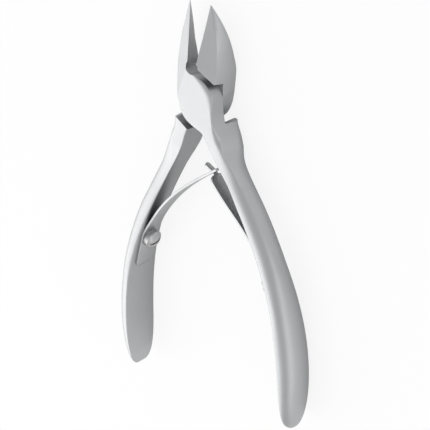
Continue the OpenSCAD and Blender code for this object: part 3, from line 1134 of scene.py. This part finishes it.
def grown(obj: bpy.types.Object, tree: bpy.types.NodeTree, values: Inputs) -> bpy.types.Mesh:
    """Runs a geometry node tree on an object and keeps the plain mesh.

    Args:
        obj: The object, which gets the new mesh.
        tree: The tree.
        values: Values of the tree's inputs by name.

    Returns:
        The new mesh.
    """
    modifier = obj.modifiers.new(tree.name, "NODES")
    modifier.node_group = tree
    for item in tree.interface.items_tree:
        if item.in_out == "INPUT" and item.name in values:
            modifier[item.identifier] = values[item.name]
    return applied(obj)


class LeafEnd(Enum):
    """How a leaf ends where the two cross."""

    SLOT = "slot"
    TONGUE = "tongue"


@dataclass
class LeafSpring:
    """A bent leaf from its foot on one handle to the crossing with the other leaf.

    All lengths are in millimetres and all angles in degrees.
    """

    name: str
    node: str
    far_body: str
    lever: Lever
    end: LeafEnd
    thickness: float = 0.6
    edge_round: float = 0.08
    foot_w: float = 5.3
    leaf_w: float = 4.3
    tip_w: float = 3.2
    narrow_len: float = 14.0
    foot_down: float = 5.5
    foot_up: float = 5.3
    lift: float = 9.5
    foot_reach: float = 12.0
    cross_reach: float = 11.0
    cross: Point2 = (2.2, -17.0)
    slot_dir: float = 33.5
    tongue_dir: float = 127.0
    tongue_bend: float = 24.0
    tongue_w: float = 1.35
    tongue_len: float = 2.7
    shoulder_gap: float = 0.8
    shoulder_r: float = 1.8
    stub_len: float = 2.9
    slot_len: float = 3.2
    slot_w: float = 1.9
    end_r: float = 0.6
    # The foot's corners as a share of its width, the length over which it narrows, the width at the tongue's
    # shoulders as a share of the leaf's, and the least width of all.
    foot_corner: float = 0.25
    foot_fade: float = 6.0
    tongue_spread: float = 1.05
    least_w: float = 0.3
    # Width of the profile that is swept along the leaf, before it is spread to the leaf's width.
    profile_w: float = 0.5
    # Points of the middle line, and the one from which the leaf bends.
    line_points: int = 240
    bends_from: int = 20

    def crossing(self) -> tuple[np.ndarray, float]:
        """Gives the crossing and the leaf's direction there, in the lever's closed drawing.

        Returns:
            The point and the direction's angle from +X.
        """
        half = self.lever.open_angle / 2
        if self.end is LeafEnd.TONGUE:
            return turned(self.cross, -half), self.tongue_dir - half
        return turned((-self.cross[0], self.cross[1]), -half), 180 - self.slot_dir - half

    def centre_line(self) -> np.ndarray:
        """Draws the leaf's middle line in plan, from the foot to the tip.

        Returns:
            Its points, one per row.
        """
        spot, turn = self.crossing()
        lever, depth = self.lever, self.lever.leaf_t / 2
        low, high = lever.on_seat(depth, self.foot_down), lever.on_seat(depth, -self.foot_up)
        foot = (high - low) / np.linalg.norm(high - low)
        lifted = turned(tuple(foot), self.lift)
        from_foot, to_cross = high + lifted * self.foot_reach, spot - heading(turn) * self.cross_reach
        controls = np.array([high, from_foot, to_cross, spot])
        if self.end is LeafEnd.TONGUE:
            tip = spot + heading(turn + self.tongue_bend) * self.tongue_len
        else:
            tip = spot + heading(turn) * self.stub_len
        line = [low + (high - low) * k for k in np.linspace(0, 1, 20, endpoint=False)]
        line += [bezier(controls, t) for t in np.linspace(0, 1, 60, endpoint=False)]
        line += [spot + (tip - spot) * k for k in np.linspace(0, 1, 10)]
        return softened(np.array(line), samples=self.line_points, width=2)

    def width(self, from_foot: float, to_tip: float, to_cross: float) -> float:
        """Gives the leaf's width at a place on it.

        Args:
            from_foot: Distance from the foot's end.
            to_tip: Distance to the tip.
            to_cross: Distance to the crossing, negative beyond it.

        Returns:
            The width, with the foot and the tip rounded.
        """
        tip_w = self.tip_w if self.end is LeafEnd.SLOT else self.tongue_spread * self.leaf_w
        w = mix(self.leaf_w, tip_w, ease(1 - max(0.0, to_cross) / self.narrow_len))
        w = mix(self.foot_w, w, ease((from_foot - self.foot_down - self.foot_up) / self.foot_fade))
        if self.end is LeafEnd.TONGUE:
            short = (self.shoulder_gap + self.shoulder_r - to_cross) / self.shoulder_r
            drop = 1 - math.sqrt(max(0.0, 1 - min(1.0, max(0.0, short)) ** 2))
            w = mix(w, self.tongue_w, drop)
        for reach, radius in ((from_foot, self.foot_corner * self.foot_w), (to_tip, min(self.end_r, w / 2))):
            if reach < radius:
                w -= 2 * (radius - math.sqrt(max(0.0, radius**2 - (radius - reach) ** 2)))
        return max(w, self.least_w)

    def tree(self) -> bpy.types.NodeTree:
        """Builds the node tree that turns the middle line into a strip and punches its slot.

        Returns:
            The tree.
        """
        sizes = {"Thickness": self.thickness, "Profile Width": self.profile_w, "Edge Round": self.edge_round}
        extra = {label: "NodeSocketVector" for label in ("Slot Size", "Slot Place", "Slot Turn")}
        tree, given = node_group(f"{self.name}_strip", sizes, extra | {"Finish": "NodeSocketMaterial"})
        size = given.outputs
        line = add_node(tree, "GeometryNodeMeshToCurve", Mesh=size["Geometry"])
        upright = add_node(tree, "GeometryNodeSetCurveNormal", {"mode": "Z_UP"}, Curve=line.outputs[0])
        box = add_node(
            tree,
            "GeometryNodeCurvePrimitiveQuadrilateral",
            Width=size["Thickness"],
            Height=size["Profile Width"],
        )
        profile = add_node(
            tree,
            "GeometryNodeFilletCurve",
            {"mode": "POLY"},
            Curve=box.outputs[0],
            Count=3,
            Radius=size["Edge Round"],
        )
        strip = add_node(
            tree,
            "GeometryNodeCurveToMesh",
            Curve=upright.outputs[0],
            Profile_Curve=profile.outputs[0],
            Fill_Caps=True,
        )
        place = add_node(tree, "GeometryNodeInputPosition")
        parts = add_node(tree, "ShaderNodeSeparateXYZ", Vector=place.outputs[0])
        side = add_node(tree, "ShaderNodeMath", {"operation": "SIGN"}, in_0=parts.outputs["Z"])
        width = add_node(tree, "GeometryNodeInputNamedAttribute", {"data_type": "FLOAT"}, Name="width")
        shift = width
        steps = (("SUBTRACT", size["Profile Width"]), ("MULTIPLY", 0.5), ("MULTIPLY", side.outputs[0]))
        for operation, by in steps:
            shift = add_node(tree, "ShaderNodeMath", {"operation": operation}, in_0=shift.outputs[0], in_1=by)
        offset = add_node(tree, "ShaderNodeCombineXYZ", Z=shift.outputs[0])
        wide = add_node(tree, "GeometryNodeSetPosition", Geometry=strip.outputs[0], Offset=offset.outputs[0])
        leaf = wide
        if self.end is LeafEnd.SLOT:
            punch = add_node(tree, "GeometryNodeMeshCube", Size=size["Slot Size"])
            placed = add_node(
                tree,
                "GeometryNodeTransform",
                Geometry=punch.outputs[0],
                Translation=size["Slot Place"],
                Rotation=size["Slot Turn"],
            )
            leaf = add_node(
                tree,
                "GeometryNodeMeshBoolean",
                {"operation": "DIFFERENCE", "solver": "EXACT"},
                Mesh_1=wide.outputs[0],
                Mesh_2=placed.outputs[0],
            )
        real = add_node(tree, "GeometryNodeRealizeInstances", Geometry=leaf.outputs[0])
        dressed = add_node(tree, "GeometryNodeSetMaterial", Geometry=real.outputs[0], Material=size["Finish"])
        add_node(tree, "NodeGroupOutput", in_0=dressed.outputs[0])
        return tree

    def build(self, finish: bpy.types.Material) -> bpy.types.Object:
        """Builds the leaf in its rest pose.

        Args:
            finish: The leaf's material.

        Returns:
            The finished piece.
        """
        line = self.centre_line()
        steps = np.linalg.norm(np.diff(line, axis=0), axis=1)
        reach = np.concatenate([[0.0], np.cumsum(steps)])
        beyond = self.tongue_len if self.end is LeafEnd.TONGUE else self.stub_len
        widths = [self.width(r, reach[-1] - r, reach[-1] - r - beyond) for r in map(float, reach)]
        mesh = bpy.data.meshes.new(self.name)
        mesh.from_pydata([(x, y, 0.0) for x, y in line], [(i, i + 1) for i in range(len(line) - 1)], [])
        mesh.attributes.new("width", "FLOAT", "POINT").data.foreach_set("value", widths)
        obj = new_object(self.name, mesh)
        spot, turn = self.crossing()
        values = {
            "Slot Size": (self.slot_len, 4 * self.thickness, self.slot_w),
            "Slot Place": (float(spot[0]), float(spot[1]), 0.0),
            "Slot Turn": (0.0, 0.0, math.radians(turn)),
            "Finish": finish,
        }
        mesh = grown(obj, self.tree(), values)
        tidied(mesh, merge=WELD, sharp_deg=40)
        self.lever.settle(mesh, Matrix.Identity(4))
        mesh.name = self.name
        rest = self.lever.rest()
        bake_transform(obj)
        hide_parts(self.node)
        return obj


@dataclass
class SpringScrew:
    """A domed, slotted screw through a leaf's foot, in millimetres and degrees."""

    name: str
    node: str
    lever: Lever
    head_d: float = 4.6
    head_h: float = 2.3
    rim_h: float = 1.3
    shank_r: float = 1.0
    shank_len: float = 2.0
    # Share of the shank that stands in the head, so that the two join.
    shank_root: float = 0.01
    up: float = 2.7
    slot_w: float = 0.55
    slot_d: float = 0.6
    slot_turn: float = -19.0

    def tree(self) -> bpy.types.NodeTree:
        """Builds the node tree: a ball trimmed by the rim, slotted, on a shank.

        Returns:
            The tree.
        """
        rise = self.head_h - self.rim_h
        sizes = {
            "Head Radius": self.head_d / 2,
            "Head Height": self.head_h,
            "Dome Radius": ((self.head_d / 2) ** 2 + rise**2) / (2 * rise),
            "Shank Radius": self.shank_r,
            "Shank Length": self.shank_len,
            "Slot Width": self.slot_w,
            "Slot Depth": self.slot_d,
        }
        tree, given = node_group(f"{self.name}_turning", sizes, {"Finish": "NodeSocketMaterial"})
        size = given.outputs
        # The heights of the ball, the disc and the shank, and the length and height of the slot's cutter.
        sums = (
            ("SUBTRACT", size["Head Height"], size["Dome Radius"]),
            ("MULTIPLY", size["Head Height"], 0.5),
            ("MULTIPLY", size["Head Radius"], 4.0),
            ("MULTIPLY", size["Slot Depth"], 2.0),
            ("MULTIPLY", size["Shank Length"], self.shank_root - 0.5),
        )
        ball_z, disc_z, blade_len, blade_h, pin_z = (
            add_node(tree, "ShaderNodeMath", {"operation": operation}, in_0=a, in_1=b).outputs[0]
            for operation, a, b in sums
        )
        groove = add_node(tree, "ShaderNodeCombineXYZ", X=blade_len, Y=size["Slot Width"], Z=blade_h)
        ball = add_node(tree, "GeometryNodeMeshUVSphere", Segments=96, Rings=96, Radius=size["Dome Radius"])
        blade = add_node(tree, "GeometryNodeMeshCube", Size=groove.outputs[0])
        disc, pin = (
            add_node(tree, "GeometryNodeMeshCylinder", Vertices=n, Radius=size[radius], Depth=size[depth])
            for n, radius, depth in ((96, "Head Radius", "Head Height"), (48, "Shank Radius", "Shank Length"))
        )
        raised = []
        for shape, height in ((ball, ball_z), (disc, disc_z), (blade, size["Head Height"]), (pin, pin_z)):
            lift = add_node(tree, "ShaderNodeCombineXYZ", Z=height).outputs[0]
            moved = add_node(tree, "GeometryNodeTransform", Geometry=shape.outputs[0], Translation=lift)
            raised.append(moved.outputs[0])
        dome, rim, slot, shank = raised
        trim, cut, join = (
            {"operation": operation, "solver": "EXACT"} for operation in ("INTERSECT", "DIFFERENCE", "UNION")
        )
        head = add_node(tree, "GeometryNodeMeshBoolean", trim, Mesh_2=dome)
        tree.links.new(rim, head.inputs["Mesh 2"])
        slotted = add_node(tree, "GeometryNodeMeshBoolean", cut, Mesh_1=head.outputs[0], Mesh_2=slot)
        whole = add_node(tree, "GeometryNodeMeshBoolean", join, Mesh_2=slotted.outputs[0])
        tree.links.new(shank, whole.inputs["Mesh 2"])
        real = add_node(tree, "GeometryNodeRealizeInstances", Geometry=whole.outputs[0])
        dressed = add_node(tree, "GeometryNodeSetMaterial", Geometry=real.outputs[0], Material=size["Finish"])
        add_node(tree, "NodeGroupOutput", in_0=dressed.outputs[0])
        return tree

    def build(self, finish: bpy.types.Material) -> bpy.types.Object:
        """Builds the screw on its leaf.

        Args:
            finish: The screw's material.

        Returns:
            The finished piece.
        """
        obj = new_object(self.name, bpy.data.meshes.new(self.name))
        mesh = grown(obj, self.tree(), {"Finish": finish})
        tidied(mesh, merge=WELD, sharp_deg=30)
        spot = self.lever.on_seat(self.lever.leaf_t, -self.up)
        place = (
            Matrix.Translation((*spot, 0.0))
            @ Matrix.Rotation(math.radians(self.lever.seat_turn()), 4, "Z")
            @ Matrix.Rotation(math.radians(90), 4, "Y")
            @ Matrix.Rotation(math.radians(self.slot_turn), 4, "Z")
        )
        self.lever.settle(mesh, place)
        mesh.name = self.name
        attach(obj, self.lever.body)
        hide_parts(self.node)
        return obj


# Set


@dataclass(frozen=True)
class SoftBox:
    """A soft box that faces the object.

    Attributes:
        name: Name of the lamp.
        toward: Direction from the object to the lamp.
        distance: Distance from the object, in metres.
        width: Width of its face, in metres.
        height: Height of its face, in metres.
        radiance: Brightness of its face.
        aim: The spot of the object that it faces, in metres.
    """

    name: str
    toward: tuple[float, float, float]
    distance: float
    width: float
    height: float
    radiance: float
    aim: tuple[float, float, float] = (0.0, -0.025, 0.004)

    def hang(self) -> None:
        """Adds the lamp to the scene."""
        data = bpy.data.lights.new(self.name, "AREA")
        data.shape, data.size, data.size_y = "RECTANGLE", self.width, self.height
        data.energy = self.radiance * math.pi * self.width * self.height
        obj = bpy.data.objects.new(self.name, data)
        bpy.context.scene.collection.objects.link(obj)
        away = Vector(self.toward).normalized()
        obj.location = Vector(self.aim) + away * self.distance
        obj.rotation_mode = "QUATERNION"
        obj.rotation_quaternion = away.to_track_quat("Z", "Y")


@dataclass
class Studio:
    """Floor, light and camera."""

    camera_mm: tuple[float, float, float] = (324.187, 187.935, 341.956)
    camera_turn: tuple[float, float, float, float] = (0.908011, -0.205693, 0.359304, 0.064087)
    focal_px: float = 2261.16
    image_px: float = 430.0
    sensor_mm: float = 36.0
    clip_m: Point2 = (0.01, 20.0)
    floor_colour: str = "#F7F7F7"
    floor_half_m: float = 1.5
    floor_white: float = 0.85
    floor_gloss: float = 0.12
    world_level: float = 0.72
    boxes: tuple[SoftBox, ...] = (
        SoftBox("low_box", (-0.88, -0.42, 0.18), distance=0.55, width=0.60, height=0.42, radiance=1.36),
        SoftBox("high_box", (-0.55, -0.38, 0.74), distance=0.55, width=0.50, height=0.40, radiance=1.25),
        SoftBox("top_box", (0.0, -0.42, 0.91), distance=0.60, width=0.36, height=0.40, radiance=0.40),
        SoftBox("right_box", (0.95, -0.22, 0.20), distance=0.70, width=0.90, height=0.32, radiance=0.75),
    )

    def camera(self) -> None:
        """Sets up the camera at the photograph's viewing angle."""
        data = bpy.data.cameras.new("photo_camera")
        data.sensor_width = self.sensor_mm
        data.lens = self.focal_px * self.sensor_mm / self.image_px
        data.clip_start, data.clip_end = self.clip_m
        obj = bpy.data.objects.new("photo_camera", data)
        bpy.context.scene.collection.objects.link(obj)
        obj.location = Vector(self.camera_mm) * MM
        obj.rotation_mode = "QUATERNION"
        obj.rotation_quaternion = Quaternion(self.camera_turn)
        bpy.context.scene.camera = obj

    def floor(self, height: float) -> None:
        """Lays the pale floor under the object.

        Args:
            height: Height of the floor, in metres.
        """
        r = self.floor_half_m
        mesh = bpy.data.meshes.new("floor")
        corners = [(-r, -r, height), (r, -r, height), (r, r, height), (-r, r, height)]
        mesh.from_pydata(corners, [], [(0, 1, 2, 3)])
        obj = new_object("floor", mesh)
        paper = bpy.data.materials.new("matt_white_paper")
        paper.use_nodes = True
        tree = paper.node_tree
        tree.nodes.clear()
        matt = add_node(tree, "ShaderNodeBsdfDiffuse", Color=linear(self.floor_colour))
        glow = add_node(tree, "ShaderNodeEmission", Color=(1, 1, 1, 1), Strength=1.0)
        ray = add_node(tree, "ShaderNodeLightPath").outputs
        glossy, clear, seen = ray["Is Glossy Ray"], ray["Is Transmission Ray"], ray["Is Camera Ray"]
        through = add_node(tree, "ShaderNodeMath", {"operation": "MAXIMUM"}, in_0=glossy, in_1=clear)
        direct, bounced = (
            add_node(tree, "ShaderNodeMath", {"operation": "MULTIPLY"}, in_0=kind, in_1=level).outputs[0]
            for kind, level in ((seen, self.floor_white), (through.outputs[0], self.floor_gloss))
        )
        share = add_node(tree, "ShaderNodeMath", {"operation": "ADD"}, in_0=direct, in_1=bounced)
        both = add_node(
            tree, "ShaderNodeMixShader", in_0=share.outputs[0], in_1=matt.outputs[0], in_2=glow.outputs[0]
        )
        add_node(tree, "ShaderNodeOutputMaterial", Surface=both.outputs[0])
        mesh.materials.append(paper)
        obj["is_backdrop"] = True

    def light(self) -> None:
        """Sets the world's level and the soft boxes."""
        world = bpy.data.worlds.new("studio")
        bpy.context.scene.world = world
        world.use_nodes = True
        tree = world.node_tree
        tree.nodes.clear()
        seen = add_node(tree, "ShaderNodeLightPath").outputs["Is Camera Ray"]
        room = add_node(tree, "ShaderNodeBackground", Color=(1, 1, 1, 1), Strength=self.world_level)
        white = add_node(tree, "ShaderNodeBackground", Color=(1, 1, 1, 1), Strength=1.0)
        both = add_node(tree, "ShaderNodeMixShader", in_0=seen, in_1=room.outputs[0], in_2=white.outputs[0])
        add_node(tree, "ShaderNodeOutputWorld", Surface=both.outputs[0])
        for box in self.boxes:
            box.hang()
        bpy.context.scene.view_settings.view_transform = "Standard"


def main() -> None:
    """Builds the studio and the nipper."""
    logging.basicConfig(level=logging.INFO, format="%(name)s: %(message)s")
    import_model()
    cad_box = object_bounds()
    studio = Studio()
    studio.camera()
    studio.floor(cad_box[0].z)
    studio.light()
    satin, strip, turned_steel = SATIN_LEVER.material(), DRAWN_STRIP.material(), TURNED_SCREW.material()
    # Only the front lever's inner edge stands back at the neck, and the left leaf leaves its handle earlier.
    set_back = ((8.0, 0.0), (11.0, 0.45), (14.0, 0.75), (19.0, 0.7), (24.0, 0.25), (30.0, 0.0))
    front = Lever("front_lever_forging", "front", "front_lever", LapSide.FRONT, neck_set=set_back)
    back = Lever("back_lever_forging", "back", "back_lever", LapSide.BACK)
    left_leaf = LeafSpring("left_leaf", "left_spring", "front", back, LeafEnd.SLOT, foot_up=4.3, lift=12.0)
    right_leaf = LeafSpring("right_leaf", "right_spring", "back", front, LeafEnd.TONGUE)
    pieces = [
        front.build(satin),
        back.build(satin),
        PivotRivet("lap_rivet", "pivot_rivet", front).build(satin),
        left_leaf.build(strip),
        right_leaf.build(strip),
        SpringScrew("left_leaf_screw", "left_spring_screw", back).build(turned_steel),
        SpringScrew("right_leaf_screw", "right_spring_screw", front).build(turned_steel),
    ]
    for piece in pieces:
        log.info("%s: %d faces", piece.name, len(piece.data.polygons))


if __name__ == "__main__":
    main()
